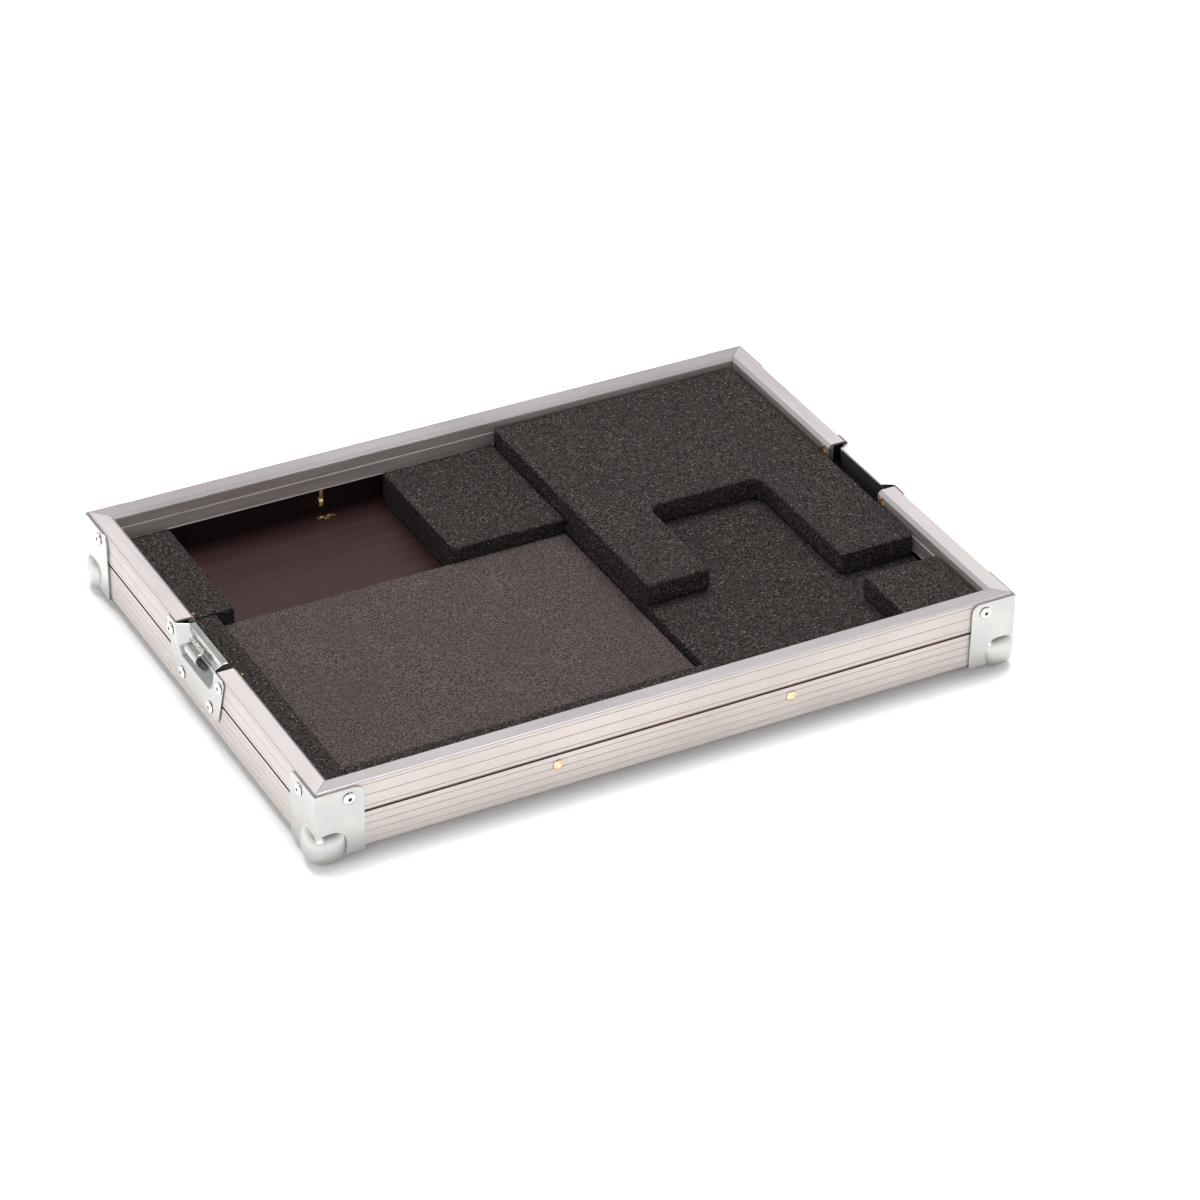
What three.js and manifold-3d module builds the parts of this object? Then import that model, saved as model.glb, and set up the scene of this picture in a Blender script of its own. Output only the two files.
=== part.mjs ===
// Base tray of a pedal flight case: plywood walls in ribbed aluminium profiles, ball corners,
// a recessed latch keeper in each end wall, and a foam fit-out inside.
// Millimetres, +Z up, X along the front, Y towards the rear, origin on the ground under the middle.
import * as THREE from 'three';
import { mergeVertices } from 'three/addons/utils/BufferGeometryUtils.js';
import Module from 'manifold-3d';

const wasm = await Module();
wasm.setup();

// Overall sizes over the profiles, without the ball corners
const case_length = 600;
const case_width = 434.5;
const case_height = 58;

// Fits
const seat_gap = 0.3;
const mitre_gap = 0.2;
const overrun = 5;
const hole_clearance = 0.3;

// Plywood
const wall_thickness = 9;
const floor_thickness = 6.4;

// Aluminium profiles
const profile_wall = 1.6;
const panel_strip = 2.6;
const rim_flat = 13.4;
const rim_chamfer = 2.8;
const rim_inner_step = 0.6;
const rim_ledge_depth = 12.6;
const rim_ledge = 0.6;
const rim_bead = 0.6;
const chamber_width = 2.2;
const chamber_land_share = 0.85;
const edge_leg = 30;
const edge_setback = 0.4;
const rib_depth = 0.45;
const rib_width = 0.9;
const profile_rounding = 1.2;

// Ball corners
const ball_radius = 16.5;
const ball_inset = 10;
const ball_height = 7.5;
const corner_plate = 1.5;
const corner_leg_long = 38;
const corner_leg_short = 42;
const corner_top_gap = 1.5;
const corner_rounding = 7;

// Rivets
const rivet_head_radius = 5.4;
const rivet_head_height = 1.7;
const rivet_bore_radius = 1.5;
const rivet_shank_radius = 2.4;
const rivet_drop = 10.2;
const corner_rivet_inset = 26;
const head_profile_shares = [[0.9, 0.5], [0.55, 0.92]];
const bore_edge_share = 0.9;
const head_overlap_share = 0.35;
const split_head_radius = 4.7;
const split_head_height = 1.5;
const split_rivet_offset = 101;
const split_rivet_inset = 21.6;
const split_leg_reach = 8;
const split_leg_plate = 1;
const split_leg_width = 3.2;
const split_curl_share = 0.55;
const split_rise_shares = [0.5, 1.5, 1.4, 0.6];

// Latch keeper dish
const dish_plate = 1.2;
const dish_depth = 11.2;
const dish_top_half = 56;
const dish_bottom_half = 41;
const dish_bottom_level = 11.3;
const dish_corner_cut = 4;
const dish_corner_radius = 8;
const recess_top_half = 37.5;
const recess_bottom_half = 31;
const recess_rise = 3.8;
const recess_corner_cut = 6;
const recess_cut_share = 0.8;
const recess_side_slope = 6;
const recess_bottom_slope = 5.5;
const notch_half = 39.8;
const hem_share = 0.27;
const hem_plate = 0.9;
const lip_width = 3.7;
const latch_rivet_offset = 46.4;
const latch_low_rivet_offset = 26.7;
const latch_low_rivet_level = 18.8;

// Keeper hook
const hook_plate = 1.6;
const hook_width = 21;
const hook_centre = 13.5;
const hook_level_shares = { top: 0.715, rivet: 0.628, bend: 0.57, nose: 0.322 };
const hook_nose_share = 0.18;
const hook_curl_share = 1.35;
const hook_rivet_radius = 2.6;
const hook_rivet_height = 1.2;

// Foam levels below the rim, and plan lines
const pad_drop = 33.6;
const block_drop = 21.1;
const base_layer_drop = 26;
const top_layer_drop = 6.4;
const foam_wall_gap = 2.2;
const base_layer_wall_gap = 0.5;
const rear_left_width = 42;
const left_strip_width = 25.5;
const front_strip_width = 31.5;
const divider_line = 66;
const block_width = 102.4;
const right_foam_edge = 53.9;
const recess_left_edge = 111.2;
const recess_right_edge = 213.4;
const recess_rear_edge = 31.9;
const left_tongue_front = -71.5;
const right_tongue_front = -100.8;
const corner_block_rear = -133.7;
const foam_rounding = 9;

// Derived planes: depth is measured inwards from the outer plane of a wall
const wall_outer = profile_wall + seat_gap;
const wall_inner = wall_outer + wall_thickness;
const slot_inner = wall_inner + seat_gap;
const chamber_outer = slot_inner + profile_wall * chamber_land_share;
const chamber_inner = chamber_outer + chamber_width;
const rim_depth = rim_flat + rim_chamfer;
const floor_bottom = profile_wall + seat_gap;
const floor_top = floor_bottom + floor_thickness;
const rim_top = case_height;
const rivet_level = rim_top - rivet_drop;
const rim_outer_height = rim_top - edge_leg - panel_strip;
const rim_inner_height = rim_outer_height - rim_inner_step;
const recess_bottom_level = edge_leg + recess_rise;
const recess_height = rim_top - recess_bottom_level;
const hem_height = recess_height * hem_share;
const pad_level = rim_top - pad_drop;
const block_level = rim_top - block_drop;
const base_layer_level = rim_top - base_layer_drop;
const top_layer_level = rim_top - top_layer_drop;
const foot_drop = ball_radius - ball_height;
const foam_bottom = floor_top + seat_gap;
const rim_face = rim_depth + rim_ledge;
const foam_inset = rim_face + foam_wall_gap;
const half_length = case_length / 2;
const half_width = case_width / 2;
const foam_x = half_length - foam_inset;
const foam_y = half_width - foam_inset;
const dish_face = -(seat_gap + dish_plate);
const dish_back = dish_face + dish_depth;

// Materials
function material(name, color, roughness, metalness) {
  const m = new THREE.MeshStandardMaterial({ color, roughness, metalness });
  m.name = name;
  return m;
}
const aluminium = () => material('aluminium', 0xe4dedc, 0.38, 0.9);
const zinc = () => material('zinc', 0xdde3df, 0.26, 0.9);
const steel = () => material('rivet_steel', 0xd9d7d2, 0.3, 0.9);
const brass = () => material('brass', 0xb98a52, 0.35, 0.9);
const plywood = () => material('phenolic_plywood', 0x3b2a28, 0.3, 0.0);
const coarse_foam = () => material('coarse_foam', 0x4a423f, 0.95, 0.0);
const fine_foam = () => material('fine_foam', 0x62585a, 0.95, 0.0);

// Geometry to solid and back
function toSolid(geometry) {
  let g = geometry.clone();
  g.deleteAttribute('normal');
  g.deleteAttribute('uv');
  g = mergeVertices(g, 1e-4);
  const mesh = new wasm.Mesh({
    numProp: 3,
    vertProperties: new Float32Array(g.attributes.position.array),
    triVerts: new Uint32Array(g.index.array),
  });
  return new wasm.Manifold(mesh);
}
function toGeometry(solid) {
  const mesh = solid.getMesh();
  const g = new THREE.BufferGeometry();
  const count = mesh.vertProperties.length / mesh.numProp;
  const points = new Float32Array(count * 3);
  for (let i = 0; i < count; i += 1) {
    points[3 * i] = mesh.vertProperties[mesh.numProp * i];
    points[3 * i + 1] = mesh.vertProperties[mesh.numProp * i + 1];
    points[3 * i + 2] = mesh.vertProperties[mesh.numProp * i + 2];
  }
  g.setAttribute('position', new THREE.BufferAttribute(points, 3));
  g.setIndex(new THREE.BufferAttribute(new Uint32Array(mesh.triVerts), 1));
  g.computeVertexNormals();
  return g;
}
function cut(geometry, tools) {
  return toGeometry(tools.reduce((s, t) => s.subtract(toSolid(t)), toSolid(geometry)));
}
function join(parts) {
  const [first, ...rest] = parts;
  return toGeometry(rest.reduce((s, p) => s.add(toSolid(p)), toSolid(first)));
}

// Facet counts of round shapes
const round_facets = 10;
const head_facets = 12;
const ball_facets = 24;

// Basic shapes
function box(x0, x1, y0, y1, z0, z1) {
  const g = new THREE.BoxGeometry(x1 - x0, y1 - y0, z1 - z0);
  return g.translate((x0 + x1) / 2, (y0 + y1) / 2, (z0 + z1) / 2);
}
function outline(points) {
  return new THREE.Shape(points.map(([x, y]) => new THREE.Vector2(x, y)));
}
function hole(points) {
  return new THREE.Path(points.map(([x, y]) => new THREE.Vector2(x, y)));
}
function circle(cx, cy, radius) {
  return Array.from({ length: round_facets }, (_, i) => {
    const a = (2 * Math.PI * i) / round_facets;
    return [cx + radius * Math.cos(a), cy + radius * Math.sin(a)];
  });
}
function prism(shape, depth) {
  return new THREE.ExtrudeGeometry(shape, { depth, bevelEnabled: false, curveSegments: 6 });
}
// A prism of an outline drawn in X and Z, from depth y0 to y1
function platePrism(shape, y0, y1) {
  return prism(shape, y1 - y0).rotateX(Math.PI / 2).translate(0, y1, 0);
}
// A pin along the depth axis of a wall
function pinDepth(x, z, radius, y0, y1) {
  return new THREE.CylinderGeometry(radius, radius, y1 - y0, round_facets).translate(x, (y0 + y1) / 2, z);
}
// An arc of points round a centre
function arc(cx, cy, radius, from, to, steps) {
  return Array.from({ length: steps + 1 }, (_, i) => {
    const a = from + ((to - from) * i) / steps;
    return [cx + radius * Math.cos(a), cy + radius * Math.sin(a)];
  });
}
// A band of even thickness along a line of points
function ribbon(points, thickness) {
  const left = [];
  const right = [];
  points.forEach((p, i) => {
    const a = points[Math.max(i - 1, 0)];
    const b = points[Math.min(i + 1, points.length - 1)];
    const run = Math.hypot(b[0] - a[0], b[1] - a[1]);
    const nx = (-(b[1] - a[1]) / run) * (thickness / 2);
    const ny = ((b[0] - a[0]) / run) * (thickness / 2);
    left.push([p[0] + nx, p[1] + ny]);
    right.push([p[0] - nx, p[1] - ny]);
  });
  return outline([...right, ...left.reverse()]);
}
// A solid between two outlines of equal point count, on planes y0 and y1
function loft(front, back, y0, y1) {
  const n = front.length;
  const points = [];
  front.forEach(([x, z]) => points.push(x, y0, z));
  back.forEach(([x, z]) => points.push(x, y1, z));
  const faces = THREE.ShapeUtils.triangulateShape(front.map(([x, z]) => new THREE.Vector2(x, z)), []);
  const index = [];
  faces.forEach(([a, b, c]) => {
    index.push(a, b, c);
    index.push(n + a, n + c, n + b);
  });
  for (let i = 0; i < n; i += 1) {
    const j = (i + 1) % n;
    index.push(i, n + i, j, j, n + i, n + j);
  }
  const g = new THREE.BufferGeometry();
  g.setAttribute('position', new THREE.BufferAttribute(new Float32Array(points), 3));
  g.setIndex(index);
  g.computeVertexNormals();
  return g;
}

// A profile bar along X: section in depth and height, each end square or mitred
function bar(shape, start, start_mitre, end, end_mitre) {
  const g = prism(shape, 1);
  const p = g.attributes.position;
  for (let i = 0; i < p.count; i += 1) {
    const depth = p.getX(i);
    const height = p.getY(i);
    const far = p.getZ(i) > 0.5;
    const along = far ? end - end_mitre * depth : start + start_mitre * depth;
    p.setXYZ(i, along, depth, height);
  }
  g.computeVertexNormals();
  return g;
}

// Fine grooves down the outer face of a profile, from the lower level to the upper
function grooved(levels) {
  return levels.flatMap((z) => [
    [0, z - rib_width / 2],
    [rib_depth, z],
    [0, z + rib_width / 2],
  ]);
}

const rim_groove_shares = [0.115, 0.488, 0.866];
const edge_groove_shares = [0.197, 0.42, 0.643, 0.863];

// Closing profile at the rim: a slot for the plywood and a hollow chamber inside it
function rimSection() {
  const low = rim_top - rim_outer_height;
  const inner_low = rim_top - rim_inner_height;
  const r = profile_rounding;
  const face = rim_face;
  const slot_top = rim_top - profile_wall;
  const points = [
    [0, low],
    ...grooved(rim_groove_shares.map((s) => low + s * rim_outer_height)),
    ...arc(r, rim_top - r, r, Math.PI, Math.PI / 2, 3),
    [rim_flat, rim_top],
    [rim_depth, rim_top - rim_chamfer],
    [rim_depth, rim_top - rim_ledge_depth + rim_ledge],
    [face, rim_top - rim_ledge_depth],
    [face, inner_low + 2 * rim_bead],
    [face + rim_bead, inner_low + rim_bead],
    [face, inner_low],
    [slot_inner, inner_low],
    [slot_inner, slot_top],
    [profile_wall, slot_top],
    [profile_wall, low],
  ];
  const shape = outline(points.reverse());
  const chamber_top = rim_top - rim_chamfer - profile_wall;
  shape.holes.push(hole([
    [chamber_outer, inner_low + profile_wall],
    [chamber_inner, inner_low + profile_wall],
    [chamber_inner, chamber_top],
    [chamber_outer, chamber_top],
  ]));
  return shape;
}

// Edge angle round the bottom
function edgeSection() {
  const r = profile_rounding;
  const points = [
    [edge_leg, 0],
    ...arc(r, r, r, 1.5 * Math.PI, Math.PI, 3),
    ...grooved(edge_groove_shares.map((s) => s * edge_leg)),
    [edge_setback, edge_leg],
    [profile_wall, edge_leg],
    [profile_wall, profile_wall],
    [edge_leg, profile_wall],
  ];
  return outline(points.reverse());
}

// Places on the walls: each list holds [along, level] of the holes through a wall
const hole_radius = rivet_shank_radius + hole_clearance;
const split_level = split_rivet_inset;
const long_corner_places = [-1, 1].map((s) => [s * (half_length - corner_rivet_inset), rivet_level]);
const short_corner_places = [-1, 1].map((s) => [s * (half_width - corner_rivet_inset), rivet_level]);
const latch_top_places = [-1, 1].map((s) => [s * latch_rivet_offset, rivet_level]);
const latch_low_places = [-1, 1].map((s) => [s * latch_low_rivet_offset, latch_low_rivet_level]);
const split_places = [-1, 1].map((s) => [s * split_rivet_offset, split_level]);

function drill(geometry, places, y0, y1) {
  return cut(geometry, places.map(([x, z]) => pinDepth(x, z, hole_radius, y0, y1)));
}

// Plywood panels
function longWall() {
  const half = half_length - wall_outer;
  const g = box(-half, half, wall_outer, wall_inner, floor_bottom, rim_top - profile_wall - seat_gap);
  return drill(g, [...long_corner_places, ...split_places], wall_outer - overrun, wall_inner + overrun);
}
function shortWall() {
  const half = half_width - wall_inner - seat_gap;
  const top = rim_top - profile_wall - seat_gap;
  const low = recess_bottom_level - dish_plate - 2 * seat_gap;
  const shape = outline([
    [-half, floor_bottom], [half, floor_bottom], [half, top], [notch_half, top],
    [notch_half, recess_bottom_level + recess_corner_cut], [recess_bottom_half, low],
    [-recess_bottom_half, low], [-notch_half, recess_bottom_level + recess_corner_cut],
    [-notch_half, top], [-half, top],
  ]);
  [...short_corner_places, ...latch_top_places, ...latch_low_places].forEach(([x, z]) => {
    shape.holes.push(hole(circle(x, z, hole_radius).reverse()));
  });
  return platePrism(shape, wall_outer, wall_inner);
}
function floorPanel() {
  const x = half_length - wall_inner - seat_gap;
  const y = half_width - wall_inner - seat_gap;
  const shape = outline([[-x, -y], [x, -y], [x, y], [-x, y]]);
  for (const sx of [-1, 1]) {
    for (const sy of [-1, 1]) {
      const at = [sx * split_rivet_offset, sy * (half_width - split_rivet_inset)];
      shape.holes.push(hole(circle(at[0], at[1], hole_radius).reverse()));
    }
  }
  return prism(shape, floor_thickness).translate(0, 0, floor_bottom);
}

// Profiles, in the frame of the wall that they stand on
function longRim() {
  const end = half_length - mitre_gap;
  return drill(bar(rimSection(), -end, 1, end, 1), long_corner_places, -overrun, chamber_inner);
}
function shortRim(side) {
  const end = half_width - mitre_gap;
  const g = side < 0
    ? bar(rimSection(), -end, 1, -notch_half, 0)
    : bar(rimSection(), notch_half, 0, end, 1);
  const pick = (places) => places.filter(([x]) => x * side > 0);
  const corner = drill(g, pick(short_corner_places), -overrun, chamber_inner);
  return drill(corner, pick(latch_top_places), -overrun, rim_depth + overrun);
}
function edgeBar(half, places) {
  const end = half - mitre_gap;
  return drill(bar(edgeSection(), -end, 1, end, 1), places, -overrun, wall_outer);
}
function longEdge() {
  const g = edgeBar(half_length, split_places);
  const pins = [-1, 1].map((s) => pinDepth(0, 0, hole_radius, -overrun, overrun).rotateX(Math.PI / 2)
    .translate(s * split_rivet_offset, split_rivet_inset, 0));
  return cut(g, pins);
}

// Ball corner at the origin, with the case towards +X, +Y and +Z
function ballCorner(leg_on_x, leg_on_y) {
  const outer = seat_gap + corner_plate;
  const top = rim_top - corner_top_gap;
  const r = corner_rounding;
  const leg = (width) => outline([
    [-outer, -outer], [width, -outer], [width, top - r],
    ...arc(width - r, top - r, r, 0, Math.PI / 2, 4), [-outer, top],
  ]);
  const on_y = platePrism(leg(leg_on_y), -outer, -seat_gap);
  const on_x = platePrism(leg(leg_on_x), seat_gap, outer).rotateZ(Math.PI / 2);
  const foot = prism(outline([
    [-outer, -outer], [leg_on_y, -outer], [leg_on_y, leg_on_x - r],
    ...arc(leg_on_y - r, leg_on_x - r, r, 0, Math.PI / 2, 4), [-outer, leg_on_x],
  ]), corner_plate).translate(0, 0, -outer);
  const sphere = (radius, facets) => new THREE.SphereGeometry(radius, facets, facets / 2)
    .rotateX(Math.PI / 2).translate(ball_inset, ball_inset, ball_height);
  const room = box(-seat_gap, case_height, -seat_gap, case_height, -seat_gap, case_height);
  const bore = () => pinDepth(corner_rivet_inset, rivet_level, hole_radius, -overrun, overrun);
  return cut(join([on_y, on_x, foot, sphere(ball_radius, ball_facets)]), [
    room, sphere(ball_radius - corner_plate, head_facets), bore(), bore().rotateZ(Math.PI / 2),
  ]);
}

// Pressed dish of the latch keeper, in the frame of its wall
function recessOutline(grow, side_slope, bottom_slope) {
  const top = recess_top_half + grow - side_slope;
  const low = recess_bottom_half + grow - side_slope;
  const z = recess_bottom_level - grow + bottom_slope;
  const c = recess_corner_cut;
  const shoulder = low + ((top - low) * c) / (rim_top - recess_bottom_level);
  return [
    [-low + c * recess_cut_share, z], [low - c * recess_cut_share, z], [shoulder, z + c],
    [top, rim_top + overrun], [-top, rim_top + overrun], [-shoulder, z + c],
  ];
}
function dishFlange() {
  const r = dish_corner_radius;
  const slope = (dish_top_half - dish_bottom_half) / (rim_top - dish_bottom_level);
  const turn = Math.atan(slope);
  const cx = dish_bottom_half - r * Math.tan((Math.PI / 2 - turn) / 2);
  const low = dish_bottom_level;
  const right = arc(cx, low + r, r, -Math.PI / 2, -turn, 4);
  const left = right.map(([x, z]) => [-x, z]).reverse();
  const k = dish_corner_cut;
  return outline([
    ...right, [dish_top_half - slope * k, rim_top - k], [dish_top_half - k, rim_top],
    [-dish_top_half + k, rim_top], [-dish_top_half + slope * k, rim_top - k], ...left,
  ]);
}
function dish(lip) {
  const face = dish_face + dish_plate;
  const flange = platePrism(dishFlange(), dish_face, face);
  const body = loft(
    recessOutline(dish_plate, 0, 0),
    recessOutline(dish_plate, recess_side_slope, recess_bottom_slope),
    dish_face, dish_back,
  );
  const pocket = loft(
    recessOutline(0, 0, 0),
    recessOutline(0, recess_side_slope, recess_bottom_slope),
    dish_face, dish_back - dish_plate,
  );
  const mouth = loft(recessOutline(0, 0, 0), recessOutline(0, 0, 0), dish_face - overrun, dish_face);
  const back_half = recess_top_half - recess_side_slope;
  const sky = box(-case_height, case_height, -case_height, case_height, rim_top, rim_top + 2 * overrun);
  const places = [...latch_top_places, ...latch_low_places];
  const bores = places.map(([x, z]) => pinDepth(x, z, hole_radius, -overrun, face + overrun));
  const shell = cut(join([flange, body]), [pocket, mouth, sky, ...bores]);
  const inner = dish_back - dish_plate;
  const hem = box(-back_half + seat_gap, back_half - seat_gap, inner - hem_plate, dish_back,
    rim_top - hem_height, rim_top);
  if (lip <= 0) return join([shell, hem]);
  const fold = box(-back_half, back_half, inner, inner + dish_plate + lip, rim_top - dish_plate, rim_top);
  return join([shell, hem, fold]);
}

// Keeper hook: a plate on the back of the dish that bends out to a rounded nose
function keeperHook() {
  const back = dish_back - dish_plate - seat_gap - hook_plate / 2;
  const level = (share) => recess_bottom_level + recess_height * share;
  const bend = level(hook_level_shares.bend);
  const r = recess_height * hook_nose_share;
  const nose = dish_face + dish_plate + hook_plate / 2 + r;
  const points = [
    [back, level(hook_level_shares.top)],
    [back, bend],
    [back - hook_plate, bend - hook_plate],
    ...arc(nose, level(hook_level_shares.nose), r, Math.PI / 2, hook_curl_share * Math.PI, 8),
  ];
  const shape = ribbon(points, hook_plate);
  const plate = prism(shape, hook_width).rotateX(Math.PI / 2).rotateZ(Math.PI / 2)
    .translate(-hook_width / 2, 0, 0);
  const seat = back - (hook_plate / 2) + hook_rivet_height * head_overlap_share;
  const head = turnedHead(hook_rivet_radius, hook_rivet_height, 0, seat)
    .translate(0, 0, level(hook_level_shares.rivet));
  return join([plate, head]);
}

// Rivets, along the depth axis with the head outside the wall plane
function turnedHead(radius, height, bore, seat) {
  const profile = [
    [bore, 0], [radius, 0], ...head_profile_shares.map(([r, h]) => [radius * r, height * h]),
    [bore, height * (bore > 0 ? bore_edge_share : 1)],
  ].map(([x, y]) => new THREE.Vector2(x, y));
  if (bore > 0) profile.push(profile[0].clone());
  return new THREE.LatheGeometry(profile, head_facets).rotateX(Math.PI).translate(0, seat, 0);
}
function hollowRivet(seat, reach) {
  const head = turnedHead(rivet_head_radius, rivet_head_height, rivet_bore_radius, seat);
  const shank = pinDepth(0, 0, rivet_shank_radius, seat - rivet_head_height * head_overlap_share, reach);
  return join([head, shank]);
}
function splitLegs(reach, turn) {
  const t = split_leg_plate;
  const r = rivet_shank_radius;
  const s = split_leg_reach;
  const [start, bend, run, tip] = split_rise_shares.map((share) => reach + share * t);
  const leg = (side) => {
    const line = [
      [side * (r - t), reach - 2 * t], [side * (r - t), start],
      [side * (r + t * split_curl_share), bend],
      [side * (r + (s - r) * split_curl_share), run],
      [side * s, tip + seat_gap],
    ];
    return prism(ribbon(side > 0 ? line : line.reverse(), t), split_leg_width)
      .translate(0, 0, -split_leg_width / 2);
  };
  return [leg(1), leg(-1)].map((g) => g.rotateY(turn));
}
function splitRivet(seat, reach, hollow, turn = Math.PI / 2) {
  const head = hollow
    ? turnedHead(rivet_head_radius, rivet_head_height, rivet_bore_radius, seat)
    : turnedHead(split_head_radius, split_head_height, 0, seat);
  const overlap = (hollow ? rivet_head_height : split_head_height) * head_overlap_share;
  const shank = pinDepth(0, 0, rivet_shank_radius, seat - overlap, reach + split_leg_plate / 2);
  return join([head, shank, ...splitLegs(reach, turn)]);
}

// Foam: blocks that stand on the floor are hollowed where they sit over the rivet legs
function foamBlock(x0, x1, y0, y1, z0, z1) {
  const g = box(x0, x1, y0, y1, z0, z1);
  if (z0 > foam_bottom) return g;
  const reach = split_leg_reach + 2 * split_leg_plate;
  const side = split_leg_width / 2 + split_leg_plate;
  const top = floor_top + 5 * split_leg_plate;
  const pockets = [];
  for (const x of [-split_rivet_offset, split_rivet_offset]) {
    for (const y of [-half_width + split_rivet_inset, half_width - split_rivet_inset]) {
      const inside = x > x0 && x < x1 && y > y0 && y < y1;
      if (inside) pockets.push(box(x - reach, x + reach, y - side, y + side, z0 - overrun, top));
    }
  }
  return pockets.length ? cut(g, pockets) : g;
}
function topLayer() {
  const r = foam_rounding;
  const shape = new THREE.Shape();
  shape.moveTo(right_foam_edge, left_tongue_front);
  shape.lineTo(recess_left_edge, left_tongue_front);
  shape.lineTo(recess_left_edge, recess_rear_edge - r);
  shape.absarc(recess_left_edge + r, recess_rear_edge - r, r, Math.PI, Math.PI / 2, true);
  shape.lineTo(recess_right_edge - r, recess_rear_edge);
  shape.absarc(recess_right_edge - r, recess_rear_edge - r, r, Math.PI / 2, 0, true);
  shape.lineTo(recess_right_edge, right_tongue_front);
  shape.lineTo(foam_x, right_tongue_front);
  shape.lineTo(foam_x, foam_y);
  shape.lineTo(right_foam_edge, foam_y);
  shape.closePath();
  const thickness = top_layer_level - base_layer_level - seat_gap;
  return prism(shape, thickness).translate(0, 0, base_layer_level + seat_gap);
}

// Assembly
const part = new THREE.Group();
part.position.set(0, 0, foot_drop);

function add(parent, name, geometry, surface, x = 0, y = 0, z = 0) {
  const mesh = new THREE.Mesh(geometry, surface);
  mesh.name = name;
  mesh.position.set(x, y, z);
  parent.add(mesh);
  return mesh;
}
function wallFrame(turn, x, y) {
  const group = new THREE.Group();
  group.rotation.z = turn;
  group.position.set(x, y, 0);
  part.add(group);
  return group;
}
const walls = {
  front: wallFrame(0, 0, -half_width),
  right: wallFrame(Math.PI / 2, half_length, 0),
  rear: wallFrame(Math.PI, 0, half_width),
  left: wallFrame(-Math.PI / 2, -half_length, 0),
};

function addShell() {
  add(part, 'floor_panel', floorPanel(), plywood());
  for (const side of ['front', 'rear']) {
    add(walls[side], `wall_panel_${side}`, longWall(), plywood());
    add(walls[side], `rim_profile_${side}`, longRim(), aluminium());
    add(walls[side], `edge_profile_${side}`, longEdge(), aluminium());
  }
  for (const side of ['left', 'right']) {
    // seen from outside, the start of the left wall is its rear end
    const [first, last] = side === 'left' ? ['rear', 'front'] : ['front', 'rear'];
    add(walls[side], `wall_panel_${side}`, shortWall(), plywood());
    add(walls[side], `rim_profile_${side}_${first}`, shortRim(-1), aluminium());
    add(walls[side], `rim_profile_${side}_${last}`, shortRim(1), aluminium());
    add(walls[side], `edge_profile_${side}`, edgeBar(half_width, latch_low_places), aluminium());
  }
}

function addCorners() {
  const corners = [
    ['front_left', 0, -1, -1], ['front_right', Math.PI / 2, 1, -1],
    ['rear_right', Math.PI, 1, 1], ['rear_left', -Math.PI / 2, -1, 1],
  ];
  corners.forEach(([name, turn, sx, sy], i) => {
    const [a, b] = i % 2 === 0 ? [corner_leg_short, corner_leg_long] : [corner_leg_long, corner_leg_short];
    const mesh = add(part, `ball_corner_${name}`, ballCorner(a, b), zinc(), sx * half_length, sy * half_width);
    mesh.rotation.z = turn;
  });
}

const plate_seat = -(2 * seat_gap + corner_plate);
const dish_seat = dish_face - seat_gap;

function addRivets() {
  const names = { front: ['left', 'right'], rear: ['right', 'left'], left: ['rear', 'front'], right: ['front', 'rear'] };
  for (const side of ['front', 'rear', 'left', 'right']) {
    const places = side === 'front' || side === 'rear' ? long_corner_places : short_corner_places;
    places.forEach(([x, z], i) => {
      const g = hollowRivet(plate_seat, chamber_inner - seat_gap);
      add(walls[side], `corner_rivet_${side}_${names[side][i]}`, g, steel(), x, 0, z);
    });
  }
  for (const side of ['left', 'right']) {
    latch_top_places.forEach(([x, z], i) => {
      const g = splitRivet(dish_seat, rim_face, true);
      add(walls[side], `latch_rivet_${side}_top_${names[side][i]}`, g, steel(), x, 0, z);
    });
    latch_low_places.forEach(([x, z], i) => {
      const g = splitRivet(dish_seat, wall_inner, true);
      add(walls[side], `latch_rivet_${side}_low_${names[side][i]}`, g, steel(), x, 0, z);
    });
  }
  for (const side of ['front', 'rear']) {
    split_places.forEach(([x, z], i) => {
      const g = splitRivet(-seat_gap, wall_inner, false);
      add(walls[side], `split_rivet_${side}_${names[side][i]}`, g, brass(), x, 0, z);
      const under = splitRivet(-seat_gap, floor_top, false, 0).rotateX(Math.PI / 2);
      add(walls[side], `floor_rivet_${side}_${names[side][i]}`, under, brass(), x, split_rivet_inset, 0);
    });
  }
}

function addLatches() {
  add(walls.left, 'latch_dish_left', dish(lip_width), zinc());
  add(walls.right, 'latch_dish_right', dish(0), zinc());
  for (const side of ['left', 'right']) {
    add(walls[side], `latch_hook_${side}`, keeperHook(), zinc(), -hook_centre);
  }
}

function addFoam() {
  const rear_left = -foam_x + rear_left_width;
  const strip = -foam_x + left_strip_width;
  const front = -foam_y + front_strip_width;
  const right = right_foam_edge - seat_gap;
  const line = divider_line - seat_gap;
  const base_x = half_length - rim_face - rim_bead - base_layer_wall_gap;
  const z = foam_bottom;
  const blocks = [
    ['foam_rear_left_block', -foam_x, rear_left, divider_line, foam_y, z, block_level],
    ['foam_left_strip', -foam_x, strip, -foam_y, line, z, block_level],
    ['foam_front_strip', strip + seat_gap, right, -foam_y, front, z, block_level],
    ['foam_rear_block', right - block_width, right, divider_line, foam_y, z, block_level],
    ['foam_base_layer', right_foam_edge, base_x, -foam_y, foam_y, z, base_layer_level],
    ['foam_corner_block', recess_right_edge, foam_x, -foam_y, corner_block_rear,
      base_layer_level + seat_gap, top_layer_level],
  ];
  blocks.forEach(([name, ...sizes]) => add(part, name, foamBlock(...sizes), coarse_foam()));
  const pad = foamBlock(strip + seat_gap, right, front + seat_gap, line, z, pad_level);
  add(part, 'foam_middle_pad', pad, fine_foam());
  add(part, 'foam_top_layer', topLayer(), coarse_foam());
}

addShell();
addCorners();
addRivets();
addLatches();
addFoam();

export default part;
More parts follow.
